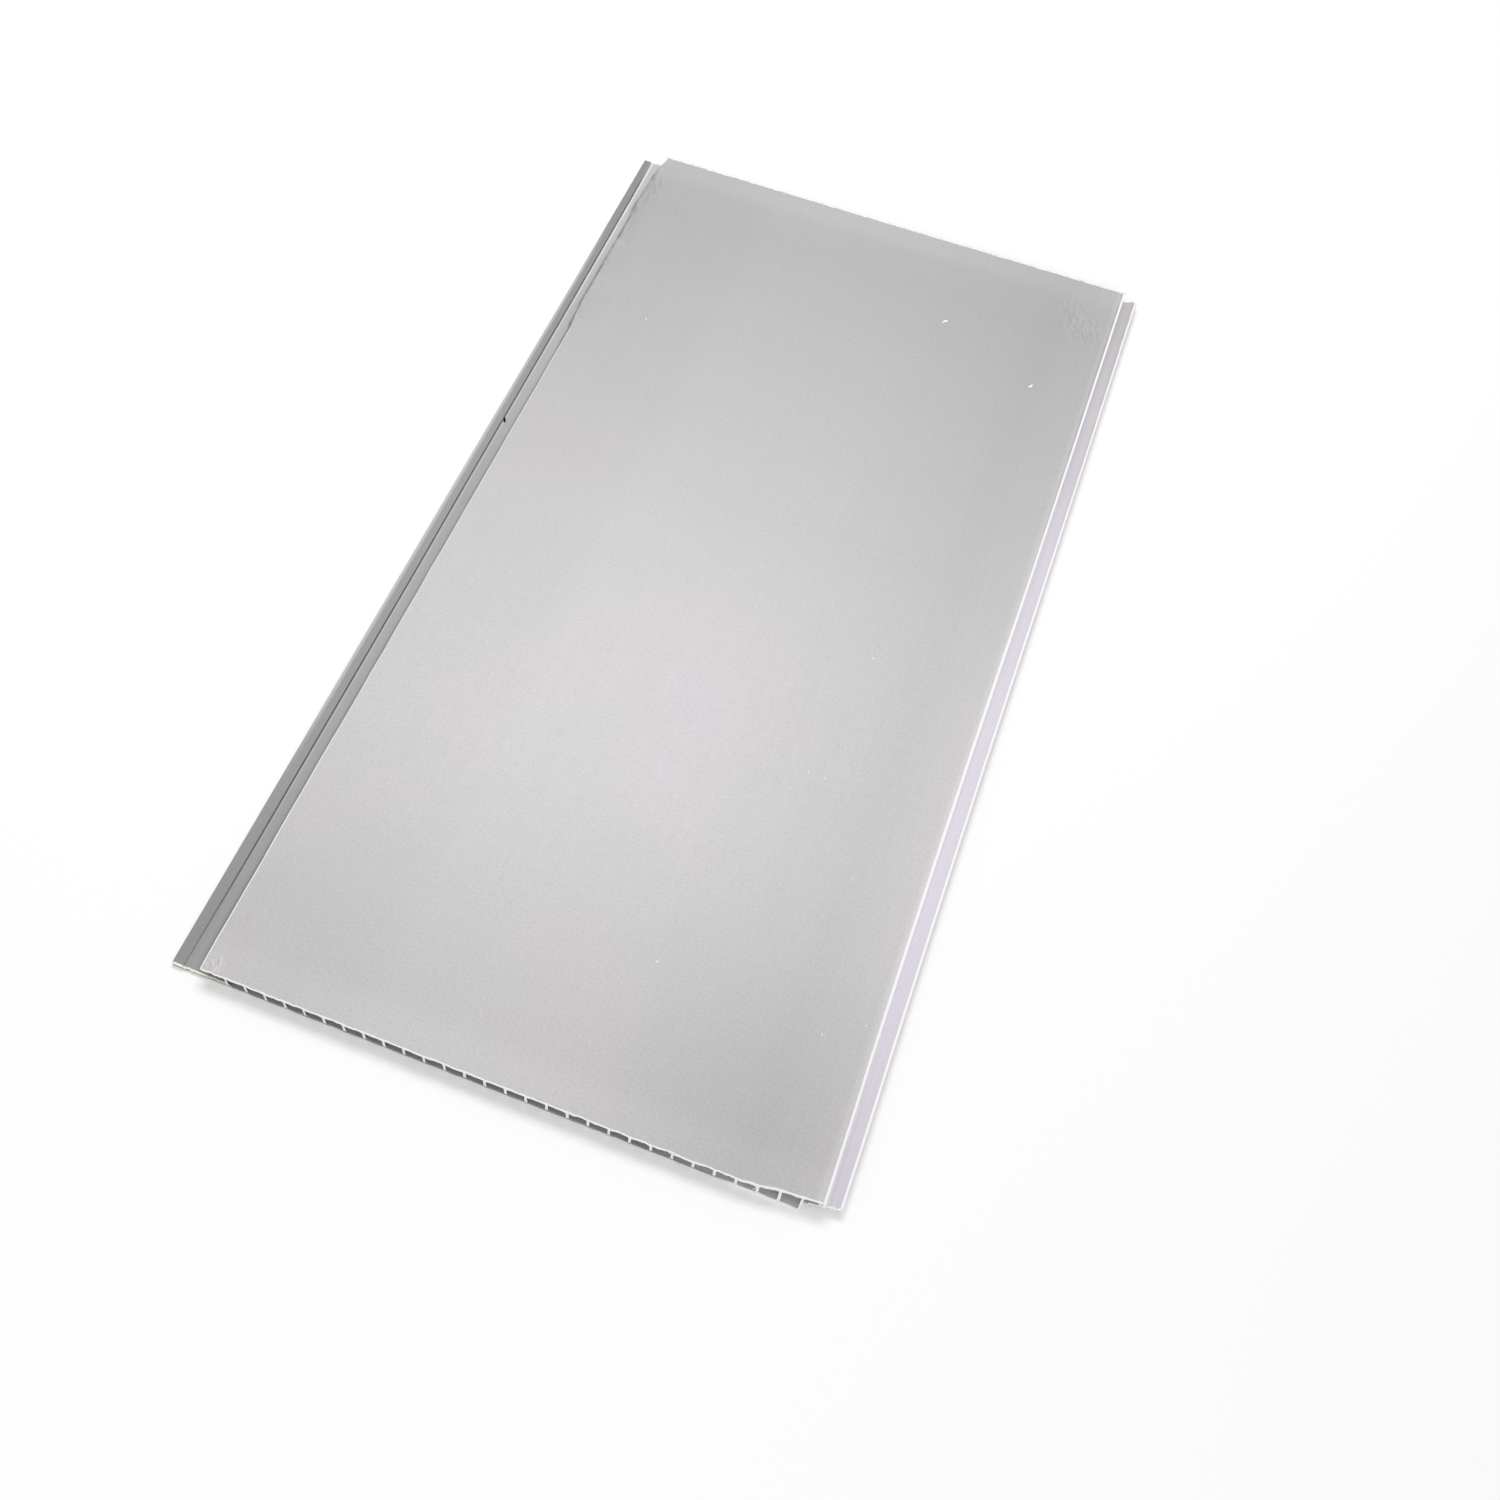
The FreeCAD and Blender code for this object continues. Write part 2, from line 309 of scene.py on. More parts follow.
def crumple(y):
    """How far the lip's edge stands out and droops at each place along the strip."""
    along, out = np.array(CRUMPLE_EDGE, float).T
    smooth = np.interp(y, along, out)
    crushed = smooth > 0.05
    out = smooth + crushed * (wander(y, 6, 0.25) + wander(y, 3, 0.12))
    droop = CRUMPLE_DROOP * np.clip(smooth / CRUMPLE_FULL, 0, 1) + crushed * wander(y, 7, 0.3)
    return out, np.maximum(0, droop)


def lip_reach(x, z):
    """1 at the lip's edge, 0 away from it."""
    return np.where(z > IN_FACE_Z, 1 - shares(x, LIP_X, GROOVE_END_X + 2), 0)


def creased(x, y, z, out):
    """How deep each place of the face lies in one of the creases, from 0 to 1."""
    across = x - out * lip_reach(x, z) ** 2
    wavy = 0.3 * np.sin(y * 0.9)
    deepest = np.zeros(len(x))
    for crease in CREASES:
        along, middle = np.array(crease).T
        gap = (across - np.interp(y, along, middle) - wavy) / CREASE_WIDTH
        past_end = np.maximum(along[0] - y, y - along[-1])
        deepest = np.maximum(deepest, np.exp(-gap ** 2) * shares(past_end, CREASE_FADE, 0))
    broken = 0.62 + 0.38 * np.sin(y * 1.15) * np.sin(y * 0.43 + 1)
    return deepest * broken * (z > FACE_Z - 0.1)


def far_cut(x):
    """How far the far cut is set back at each place across the section."""
    tongue = TONGUE_FAR_BACK * (1 - shares(x, FACE_END_X, WIDTH - 1.0))
    return np.where(x > TONGUE_FROM_X, tongue, FAR_INSET)


def bend_edges(moved, x, y, z):
    """Bow the tongue's side and the long edges; the sighting line wanders and fills up by the cuts."""
    bow = np.interp(y, *np.array(SIDE_BOW, float).T)
    moved[:, 0] -= bow * shares(x, WIDTH / 2, WIDTH)
    by_edge = shares(x, FACE_END_X - 6, FACE_END_X - 1) * shares(x, FACE_END_X + 4, FACE_END_X + 1)
    stands_out = FACE_EDGE_OUT * by_edge * shares(y, 60, 0)
    moved[:, 0] += stands_out + FLANGE_EDGE_IN * shares(x, 4, 0) * shares(y, *FAR_PART)
    sight = np.interp(y, *np.array(SIGHT_WANDER, float).T)
    moved[:, 0] += sight * shares(x, 1.5, BAND_X) * shares(x, 8.5, SCORE_X) * (z < BAND_Z + 0.1)
    bottom = (np.abs(x - BAND_X) < 0.1) * (np.abs(z - SCORE_Z) < 0.15)
    moved[:, 2] += SIGHT_FILL * bottom * np.maximum(shares(y, 70, 10), shares(y, 474, 488))


def crush_lip(moved, x, y, z, out, droop):
    """Crumple, crease and notch the lip, and dent the face beside its crumpled part."""
    reach = lip_reach(x, z)
    moved[:, 0] -= out * reach ** 2 + wander(y, 3.5, 0.16) * reach ** 6
    moved[:, 2] -= droop * reach ** 1.7 + CREASE_DEPTH * creased(x, y, z, out)
    dents = shares(y, 425, 470) * shares(x, LIP_X + 22, LIP_X + 6) * (z > IN_FACE_Z)
    moved[:, 2] -= dents * np.maximum(0, wander(x + 0.12 * y, 1.7, 0.34) + wander(y, 7, 0.16))
    notch = hump(y, NOTCH_Y, NOTCH_HALF) * (z > IN_FACE_Z) * (x < LIP_X + 1.5)
    moved[:, 0] += NOTCH_IN * notch
    moved[:, 2] -= NOTCH_DOWN * notch


def cut_ends(moved, x, y, z):
    """Set both ends back to where the saw went, with ragged edges."""
    ragged = wander(x, 2.1, 0.18) + wander(x, 0.9, 0.07) + wander(z * 5 + x, 1.9, 0.1) * shares(x, 18, 40)
    ragged += wander(x, 1.4, 0.22) * shares(x, GROOVE_END_X + 1, GROOVE_END_X - 2)
    ragged += wander(x, PITCH / 2, 0.2) * shares(x, 120, 200) * (z > IN_FACE_Z)
    flush = hump(x, BACK_FLUSH_X, BACK_FLUSH_HALF, 4) * (z < 1.3)
    inset = NEAR_INSET * (1 - flush) * z / THICKNESS
    inset = np.where(x > TONGUE_FROM_X, TONGUE_INSET, inset)
    set_back = near_cut(x, z)
    set_back = set_back + LIP_CORNER_BACK * shares(x, LIP_X + 1.3, LIP_X) ** 2 * (z > IN_FACE_Z)
    near = 1 - shares(y, 0, NEAR_REACH)
    near_edge = 1 - shares(y, 0, NEAR_EDGE_REACH)
    moved[:, 1] += set_back * near + np.maximum(0, inset + ragged) * near_edge
    far = shares(y, LENGTH - FAR_REACH, LENGTH)
    frayed = wander(x, 1.9, 0.22) + wander(x, 0.8, 0.2)
    moved[:, 1] -= np.maximum(0.02, far_cut(x) + frayed) * far


def bend(points, out, droop):
    """Move (across, along, up) points of the straight strip to where the used one has them."""
    moved = points.copy()
    bend_edges(moved, *points.T)
    crush_lip(moved, *points.T, out, droop)
    cut_ends(moved, *points.T)
    return moved


def to_frame(points):
    """From millimetres of the section to the row frame in metres."""
    return np.array(points, float) * MM + np.array((low.x, low.y, low.z))


# Materials

def srgb(red, green, blue):
    """A colour given in screen values from 0 to 255, as a linear colour."""
    linear = [(v / 255 / 12.92) if v < 11 else ((v / 255 + 0.055) / 1.055) ** 2.4
              for v in (red, green, blue)]
    return (*linear, 1.0)


def add(tree, kind, inputs=None, **settings):
    """Add a shader node. An input is a plain value or another node's output."""
    node = tree.nodes.new("ShaderNode" + kind)
    for name, value in settings.items():
        setattr(node, name, value)
    for name, value in (inputs or {}).items():
        if isinstance(value, bpy.types.NodeSocket):
            tree.links.new(value, node.inputs[name])
        else:
            node.inputs[name].default_value = value
    return node


def mixed(tree, factor, first, second, kind="MIX"):
    """Mix two colours; gives the result's socket."""
    node = add(tree, "Mix", {0: factor, 6: first, 7: second}, data_type="RGBA", blend_type=kind)
    return node.outputs[2]


def times(tree, shade, tone):
    """One colour times another; gives the result's socket."""
    return mixed(tree, 1.0, shade, tone, "MULTIPLY")


def maths(tree, kind, first, second):
    """Combine two numbers; gives the result's socket."""
    return add(tree, "Math", {0: first, 1: second}, operation=kind).outputs[0]


def distance(tree, place, centre):
    """How far a place is from a centre; gives the result's socket."""
    return add(tree, "VectorMath", {0: place, 1: centre}, operation="DISTANCE").outputs["Value"]


def ramp(tree, value, start, end, to_start=0.0, to_end=1.0):
    """Turn a range of values into another one; gives the result's socket."""
    node = add(tree, "MapRange", {"Value": value, "From Min": start, "From Max": end,
                                  "To Min": to_start, "To Max": to_end})
    return node.outputs["Result"]


def graded(tree, value, start, end, stops):
    """Steps over a range of values, from (share, grey or colour) stops with a smooth blend."""
    node = add(tree, "ValToRGB", {"Fac": ramp(tree, value, start, end)})
    node.color_ramp.interpolation = "EASE"
    steps = node.color_ramp.elements
    while len(steps) < len(stops):
        steps.new(0.5)
    for step, (share, tone) in zip(steps, stops):
        step.position = share
        step.color = (*tone, 1.0) if isinstance(tone, tuple) else (tone, tone, tone, 1.0)
    return node.outputs["Color"]


def noise_at(tree, place, scale, stretch=None, detail=3.0):
    """Noise over the object's own places, drawn out where stretch is small."""
    if stretch:
        place = add(tree, "Mapping", {"Vector": place, "Scale": stretch}).outputs["Vector"]
    return add(tree, "TexNoise", {"Vector": place, "Scale": scale, "Detail": detail}).outputs["Fac"]


def new_tree(name):
    """A new material, its node tree and the tree's only node, the output."""
    material = bpy.data.materials.new(name)
    material.use_nodes = True
    tree = material.node_tree
    tree.nodes.clear()
    return material, tree, add(tree, "OutputMaterial")


def finish_surface(tree, output, shade, roughness, ior, normal):
    """End a material's nodes with one plain surface."""
    shader = add(tree, "BsdfPrincipled", {"Base Color": shade, "Roughness": roughness, "IOR": ior,
                                          "Normal": normal})
    tree.links.new(shader.outputs["BSDF"], output.inputs["Surface"])


# Rigid PVC: how fine and deep its grain, its draw lines and its crinkles are, how much its gloss varies,
# and how far into the hollows the painted shade reaches
GRAIN_SCALE = 950.0
LINES_SCALE = 420.0
LINES_STRETCH = (1.0, 0.012, 1.0)
PIT_DEPTH = 0.2 * MM
LINES_DEPTH = 0.1 * MM
CRINKLE_SCALE = 1150.0
CRINKLE_DEPTH = 0.4 * MM
GLOSS_VARIES = 0.02
INWARDS_DEPTH = 10 * MM
PVC_IOR = 1.53
CUT_IOR = 1.5


def pvc(name, colour, second, patch_scale, mottle, streak, roughness, bump,
        along=None, across=None, inwards=None, painted_light_and_wear=False, crinkled=False):
    """Rigid PVC as the die leaves it: two close colours in patches, fine mottling and draw lines.

    along, across and inwards are steps over the length, a range of X and the first centimetre of the
    length, and paint light and shade. With the flag for painted light and wear set, it takes painted
    shade, painted highlights and rubbed white where the mesh says so."""
    material, tree, output = new_tree(name)
    place = add(tree, "TexCoord").outputs["Object"]
    axes = add(tree, "SeparateXYZ", {"Vector": place}).outputs
    patches = ramp(tree, noise_at(tree, place, patch_scale, detail=2.0), 0.38, 0.62)
    if along:
        pink = times(tree, graded(tree, axes["Y"], low.y, high.y, PINK_ALONG),
                     graded(tree, axes["X"], low.x, high.x, PINK_ACROSS))
        patches = maths(tree, "MULTIPLY", patches, pink)
    shade = mixed(tree, patches, colour, second)
    if along:
        shade = times(tree, shade, graded(tree, axes["Y"], low.y, high.y, along))
    if across:
        start, end, stops = across
        shade = times(tree, shade, graded(tree, axes["X"], start, end, stops))
    grain = noise_at(tree, place, GRAIN_SCALE)
    lines = noise_at(tree, place, LINES_SCALE, stretch=LINES_STRETCH)
    shade = times(tree, shade, ramp(tree, grain, 0.3, 0.7, 1 - mottle, 1.0))
    shade = times(tree, shade, ramp(tree, lines, 0.3, 0.7, 1 - streak, 1.0))
    # Painted shade and painted highlights from the mesh, with rubbed white at the face's edge
    if painted_light_and_wear:
        painted_light_and_bare = add(tree, "Attribute", attribute_name="painted_light_and_bare").outputs["Fac"]
        shade = mixed(tree, painted_light_and_bare, shade, PAINTED_LIGHT_AND_BARE_COLOUR)
        painted_shade = add(tree, "Attribute", attribute_name="painted_shade").outputs["Fac"]
        shade = mixed(tree, painted_shade, shade, PAINTED_SHADE_COLOUR)
    rough = ramp(tree, noise_at(tree, place, 300.0), 0.3, 0.7,
                 roughness - GLOSS_VARIES, roughness + GLOSS_VARIES)
    pits = add(tree, "Bump", {"Height": grain, "Strength": bump, "Distance": PIT_DEPTH})
    drawn = add(tree, "Bump", {"Height": lines, "Strength": bump, "Distance": LINES_DEPTH,
                               "Normal": pits.outputs["Normal"]})
    normal = drawn.outputs["Normal"]
    if crinkled:
        normal, shade = crinkles(tree, place, normal, shade)
    # Painted shade deeper inside the hollows, from the near cut inwards
    if inwards:
        shade = times(tree, shade, graded(tree, axes["Y"], low.y, low.y + INWARDS_DEPTH, inwards))
    finish_surface(tree, output, shade, rough, PVC_IOR, normal)
    return material


def crinkles(tree, place, normal, shade):
    """Fine slanting creases in a few places of the face, where it has been bent and rubbed; their marks
    are painted shade and painted highlights.

    By the near cut and the tongue the face has painted shade too."""
    drawn = add(tree, "Mapping", {"Vector": place, "Rotation": (0.0, 0.0, CRINKLE_TURN),
                                  "Scale": (1.0, 4.0, 1.0)}, vector_type="TEXTURE").outputs["Vector"]
    waves = add(tree, "TexNoise", {"Vector": drawn, "Scale": CRINKLE_SCALE, "Detail": 0.0,
                                   "Distortion": 0.3}).outputs["Fac"]
    near_end = ramp(tree, distance(tree, place, SHADED_PLACE), 0.0, SHADED_REACH, SHADED_TO, 1.0)
    shade = times(tree, shade, near_end)
    for centre, reach, darkest, lightest in CRINKLE_PLACES:
        gap = distance(tree, place, centre)
        there = ramp(tree, gap, reach, reach * 0.3)
        normal = add(tree, "Bump", {"Height": waves, "Strength": there, "Distance": CRINKLE_DEPTH,
                                    "Normal": normal}).outputs["Normal"]
        marks = ramp(tree, waves, 0.35, 0.65, darkest, lightest)
        shade = mixed(tree, there, shade, times(tree, shade, marks))
    return normal, shade


def on_face(across, along):
    """A place on the finished face in the row frame."""
    return (low.x + across * MM, low.y + along * MM, low.z + FACE_Z * MM)


# Steps of grey or of a colour: along the strip from the near cut (0) to the far one (1), and across it
# or across the stated range of X. The pink steps say how much of the second colour shows.
PINK_ALONG = [(0.0, 0.8), (0.12, 0.85), (0.35, 1.0), (0.6, 0.45), (0.75, 0.1), (1.0, 0.1)]
PINK_ACROSS = [(0.0, 1.0), (0.55, 1.0), (0.75, 0.4), (0.9, 0.2), (0.96, 1.0)]
# FACE_ALONG, FLANGE_ALONG, BAND_ALONG and TONGUE_ALONG are painted light and shade: lighter where the
# lamp's highlight lies, darker where less light falls
FACE_ALONG = [(0.015, 0.992), (0.04, 0.934), (0.075, 0.938), (0.125, 0.959), (0.2, 0.987), (0.275, 1.0),
              (0.35, 0.983), (0.425, 0.967), (0.5, 0.949), (0.6, 0.902), (0.7, 0.868), (0.8, 0.833),
              (0.875, 0.797), (0.925, 0.772), (0.96, 0.782), (0.985, 0.852)]
FLANGE_ALONG = [(0.0, 0.565), (0.125, 0.59), (0.25, 0.65), (0.375, 0.69), (0.5, 0.67), (0.75, 0.80),
                (0.92, 0.92), (1.0, 0.92)]
BAND_ALONG = [(0.0, 0.86), (0.2, 0.94), (0.5, 1.0), (0.8, 0.88), (1.0, 0.8)]
TONGUE_ALONG = [(0.0, 0.92), (0.2, 1.0), (0.4, 1.0), (0.6, 0.97), (0.8, (0.87, 0.88, 0.83)),
                (1.0, (0.745, 0.76, 0.69))]
# Painted light across the face, with a painted highlight along its right edge
FACE_ACROSS = (low.x + LIP_X * MM, low.x + FACE_END_X * MM,
               [(0.03, 0.945), (0.1, 0.949), (0.2, 0.963), (0.3, 1.0), (0.4, 0.999), (0.5, 0.99),
                (0.6, 0.98), (0.7, 0.957), (0.8, 0.936), (0.88, 0.909), (0.94, 0.945), (0.98, 0.965),
                (0.993, 1.1)])
# Painted light on the tongue beside the face's wall, against the shade at its foot
TONGUE_ACROSS = (low.x + FACE_END_X * MM, low.x + WIDTH * MM,
                 [(0.0, 1.0), (0.12, 0.91), (0.3, (0.79, 0.79, 0.77)), (0.6, (0.78, 0.78, 0.73)),
                  (1.0, 0.77)])
# Painted shade inside the cells: darker under the full face, lighter in the last ones, and darker deeper
# in
INSIDE_ACROSS = (low.x, high.x, [(0.1, 0.5), (0.7, 0.55), (0.82, 0.95), (1.0, 1.0)])
INSIDE_INWARDS = [(0.0, 1.0), (0.3, 0.85), (0.5, 0.45), (0.7, 0.25)]
# Painted shade, and painted light that at the face's edge is also the white of a rubbed edge
PAINTED_SHADE_COLOUR = srgb(96, 94, 94)
PAINTED_LIGHT_AND_BARE_COLOUR = srgb(250, 249, 251)
# Painted shade on the face by the near cut and the tongue
SHADED_PLACE = on_face(250.0, 0.0)
SHADED_REACH = 90 * MM
SHADED_TO = 0.92
CRINKLE_TURN = math.radians(15.0)
# Centre, reach, and the darkest and lightest marks: painted shade and painted highlights of the crinkles
CRINKLE_PLACES = [
    (on_face(251.0, 467.0), 15 * MM, 0.94, 1.08),
    (on_face(241.0, 477.0), 10 * MM, 0.96, 1.05),
    (on_face(17.7, 4.5), 5 * MM, 0.93, 1.22),
]

face_material = pvc("pvc_face", srgb(208, 207, 208), srgb(213, 208, 212), patch_scale=9.0, mottle=0.13,
                    streak=0.02, roughness=0.40, bump=0.10,
                    along=FACE_ALONG, across=FACE_ACROSS, painted_light_and_wear=True, crinkled=True)
tongue_material = pvc("pvc_tongue", srgb(243, 236, 254), srgb(245, 239, 254), patch_scale=12.0,
                      mottle=0.03, streak=0.03, roughness=0.40, bump=0.10,
                      along=TONGUE_ALONG, across=TONGUE_ACROSS, painted_light_and_wear=True)
# The face's white edge: partly bare PVC, partly a painted highlight on its rounding
white_material = pvc("pvc_white_edge", srgb(254, 253, 255), srgb(255, 254, 255), patch_scale=60.0,
                     mottle=0.01, streak=0.01, roughness=0.38, bump=0.08)
# The rim's white is a painted highlight on its rounding
rim_material = pvc("pvc_rim", srgb(254, 253, 255), srgb(255, 254, 255), patch_scale=60.0, mottle=0.01,
                   streak=0.02, roughness=0.38, bump=0.08, painted_light_and_wear=True)
flange_material = pvc("pvc_flange", srgb(206, 206, 207), srgb(208, 207, 209), patch_scale=10.0,
                      mottle=0.06, streak=0.06, roughness=0.55, bump=0.20,
                      along=FLANGE_ALONG, painted_light_and_wear=True)
band_material = pvc("pvc_screw_band", srgb(155, 155, 156), srgb(159, 158, 160), patch_scale=10.0,
                    mottle=0.06, streak=0.06, roughness=0.55, bump=0.20, along=BAND_ALONG, painted_light_and_wear=True)
back_material = pvc("pvc_back", srgb(198, 197, 200), srgb(203, 202, 204), patch_scale=10.0, mottle=0.06,
                    streak=0.08, roughness=0.52, bump=0.25)
inside_material = pvc("pvc_inside", srgb(222, 219, 219), srgb(230, 227, 228), patch_scale=30.0,
                      mottle=0.06, streak=0.08, roughness=0.55, bump=0.25,
                      across=INSIDE_ACROSS, inwards=INSIDE_INWARDS)


def cut_material_made():
    """Sawn PVC: chalky with saw scratches, cream on the flange, with a painted shadow line under the back
    skin.
    """
    material, tree, output = new_tree("pvc_cut")
    place = add(tree, "TexCoord").outputs["Object"]
    axes = add(tree, "SeparateXYZ", {"Vector": place}).outputs
    chalk = ramp(tree, noise_at(tree, place, 700.0), 0.3, 0.7)
    white = mixed(tree, chalk, srgb(246, 245, 246), srgb(254, 254, 254))
    cream = mixed(tree, chalk, srgb(250, 243, 230), srgb(254, 250, 243))
    grey = mixed(tree, chalk, srgb(140, 137, 136), srgb(168, 165, 163))
    # Cream on the flange. The back's skin is grey under the cells and white by the tongue.
    flange_end, cells_start = low.x + 20 * MM, low.x + 26 * MM
    grey_end, white_start = low.x + 222 * MM, low.x + 232 * MM
    white = mixed(tree, ramp(tree, axes["X"], cells_start, flange_end), white, cream)
    skin = mixed(tree, ramp(tree, axes["X"], grey_end, white_start), grey, white)
    skin = mixed(tree, ramp(tree, axes["X"], flange_end, cells_start), white, skin)
    shade = mixed(tree, ramp(tree, axes["Z"], 0.7 * MM, 1.1 * MM), skin, white)
    # A painted shadow line along the very bottom, up to a higher place on the flange, and none by the
    # tongue
    shadow_line_top = ramp(tree, axes["X"], low.x + 24 * MM, low.x + 22 * MM, 0.45 * MM, 0.8 * MM)
    shadow_line = ramp(tree, maths(tree, "SUBTRACT", axes["Z"], shadow_line_top), 0.2 * MM, 0.0)
    left = ramp(tree, axes["X"], white_start, grey_end, 0.0, 0.9)
    painted_shadow = maths(tree, "MULTIPLY", shadow_line, left)
    shade = mixed(tree, painted_shadow, shade, srgb(88, 84, 82))
    scratches = noise_at(tree, place, 1600.0, stretch=(0.2, 1.0, 1.0))
    rough_cut = add(tree, "Bump", {"Height": scratches, "Strength": 0.4, "Distance": PIT_DEPTH})
    finish_surface(tree, output, shade, 0.7, CUT_IOR, rough_cut.outputs["Normal"])
    return material


def speckled_material(name, dark, light, scale, roughness, ior=CUT_IOR):
    """Two close tones in fine speckles."""
    material, tree, output = new_tree(name)
    place = add(tree, "TexCoord").outputs["Object"]
    grain = noise_at(tree, place, scale)
    shade = mixed(tree, ramp(tree, grain, 0.3, 0.7), dark, light)
    rough = add(tree, "Bump", {"Height": grain, "Strength": 0.3, "Distance": LINES_DEPTH})
    finish_surface(tree, output, shade, roughness, ior, rough.outputs["Normal"])
    return material


cut_material = cut_material_made()
burr_material = speckled_material("pvc_burr", srgb(244, 243, 245), srgb(254, 254, 254), scale=1800.0,
                                  roughness=0.5)
fringe_material = speckled_material("pvc_fringe", srgb(196, 195, 196), srgb(232, 231, 232), scale=900.0,
                                    roughness=0.6)
grit_material = speckled_material("dark_grit", srgb(10, 9, 9), srgb(30, 28, 28), scale=2500.0,
                                  roughness=0.9, ior=1.1)

STRIP_MATERIALS = [face_material, tongue_material, white_material, flange_material, band_material,
                   back_material, inside_material, cut_material, rim_material]
FACE, TONGUE, WHITE, FLANGE, BAND, BACK, INSIDE, CUT, RIM = range(len(STRIP_MATERIALS))


# Meshes and objects

def places_of(mesh):
    """The vertices of a mesh, one row of three numbers each."""
    places = np.empty(len(mesh.vertices) * 3)
    mesh.vertices.foreach_get("co", places)
    return places.reshape(-1, 3)


def mesh_from(name, cage):
    """A mesh made of an editing cage, which is used up."""
    mesh = bpy.data.meshes.new(name)
    cage.to_mesh(mesh)
    cage.free()
    return mesh


def placed(name, data):
    """A new object in the scene."""
    made = bpy.data.objects.new(name, data)
    bpy.context.scene.collection.objects.link(made)
    return made


# The strip

SHARP_ANGLE = math.radians(38)


def swept(loop, rings, burr=0.0):
    """Points of a closed loop repeated at every ring; a burr narrows a hollow at its near end."""
    flat = np.array(loop, float)
    centre = (flat.min(0) + flat.max(0)) / 2
    half = (flat.max(0) - flat.min(0)) / 2
    inwards = np.clip((centre - flat) / half * 1.3, -1, 1) * (1.0, 0.6)
    points = []
    for ring in rings:
        swell = burr * (1 - float(shares(ring, 0, CUT_EDGE)))
        uneven = 1 + rng.uniform(-0.5, 0.5, len(flat))[:, None] if swell else 1.0
        narrowed = flat + inwards * swell * uneven
        points += [(x, ring, z) for x, z in narrowed]
    return points


def quads_of(count, rings, first):
    """Quads between neighbouring rings of a loop with count points."""
    return [(first + k * count + i, first + k * count + (i + 1) % count,
             first + (k + 1) * count + (i + 1) % count, first + (k + 1) * count + i)
            for k in range(len(rings) - 1) for i in range(count)]


def surface_at(x, y, z):
    """The material of the straight strip's outside at a place."""
    on_flange = x < GROOVE_END_X - 0.5 and z < IN_FACE_Z
    if y < (FLANGE_CUT_EDGE if on_flange else CUT_EDGE) or y > LENGTH - 0.4:
        return CUT
    if z < 0.05:
        return BACK
    if x > RIM_START_X and z > TONGUE_UNDER_Z + 0.3:
        return RIM
    if x > FACE_END_X - 0.05 and z < FACE_Z - EDGE_RADIUS:
        return TONGUE
    if z > UNDER_FACE_Z + 0.2:
        return WHITE if x > FACE_END_X - WHITE_EDGE else FACE
    if x < BAND_X + 0.05:
        return BAND
    if x < GROOVE_END_X + 0.5 and z < FLANGE_Z + 0.5:
        return FLANGE
    return INSIDE


def build_strip():
    """The whole strip as one closed mesh."""
    points = swept(skin_loop, SKIN_RINGS)
    quads = quads_of(len(skin_loop), SKIN_RINGS, 0)
    skin_points = len(points)
    for loop in cell_loops:
        quads += quads_of(len(loop), CELL_RINGS, len(points))
        points += swept(loop, CELL_RINGS, CELL_BURR)
    mesh = bpy.data.meshes.new("hollow_strip")
    mesh.from_pydata(points, [], quads)
    cage = bmesh.new()
    cage.from_mesh(mesh)
    for end in (0.0, LENGTH):
        rim = [e for e in cage.edges if e.is_boundary
               and all(abs(v.co.y - end) < 0.001 for v in e.verts)]
        bmesh.ops.triangle_fill(cage, edges=rim, use_beauty=True)
    bmesh.ops.recalc_face_normals(cage, faces=cage.faces)
    for face in cage.faces:
        centre = face.calc_center_median()
        flat_end = abs(face.normal.y) > 0.9
        if flat_end:
            face.material_index = CUT
        elif face.verts[0].index >= skin_points:
            face.material_index = CUT if centre.y < CUT_EDGE else INSIDE
        else:
            face.material_index = surface_at(*centre)
        face.smooth = not flat_end
    cage.to_mesh(mesh)
    cage.free()
    straight = places_of(mesh)
    out, droop = crumple(straight[:, 1])
    mesh.vertices.foreach_set("co", to_frame(bend(straight, out, droop)).ravel())
    add_painted_light_and_wear(mesh, straight, out, droop)
    mesh.set_sharp_from_angle(angle=SHARP_ANGLE)
    for material in STRIP_MATERIALS:
        mesh.materials.append(material)
    mesh.update()
    return placed("hollow_strip", mesh)


def painted_shade_amount(x, y, z, crushed, out, droop):
    """Painted shade in the groove under the lip, in the sighting line and in the lip's creases and dents,
    and dark lines along the rim and beside the face's white edge.
    """
    start = GROOVE_SHADE_START_X - out + 0.4 * droop + crushed * (wander(y, 4, 0.35) - 0.6)
    groove = shares(x - start, 0, 0.4) * (z < FLANGE_Z + 0.6) * (x > BRIGHT_TO_X)
    groove *= 1 - crushed * (0.25 + np.abs(wander(y, 5, 0.35)))
    groove *= 0.35 + 0.65 * shares(y, 1, 13)
    in_line = (np.abs(x - BAND_X - 0.2) < 0.45) * (z < FLANGE_Z) * (0.4 * shares(y, 0, 130))
    by_rim = hump(x - RIM_START_X, -0.3, 0.35) * (z > TONGUE_UNDER_Z)
    by_edge = hump(x - FACE_END_X, -WIDE_WHITE_EDGE, 0.35) * (z > FACE_Z - 0.1)
    edges = (0.4 * by_rim + 0.25 * by_edge) * shares(y, *FAR_PART) * (1 + wander(y, 6, 0.5))
    dents = crushed * (z > FACE_Z - 0.1) * shares(x, LIP_X + 8, LIP_X + 1) * shares(y, 385, 440)
    dents *= np.maximum(0, wander(x + 0.1 * y, 0.9, 0.16) + wander(y, 3, 0.05))
    dents = np.maximum(dents, 0.45 * creased(x, y, z, out))
    return np.maximum.reduce([groove, in_line, edges, dents])


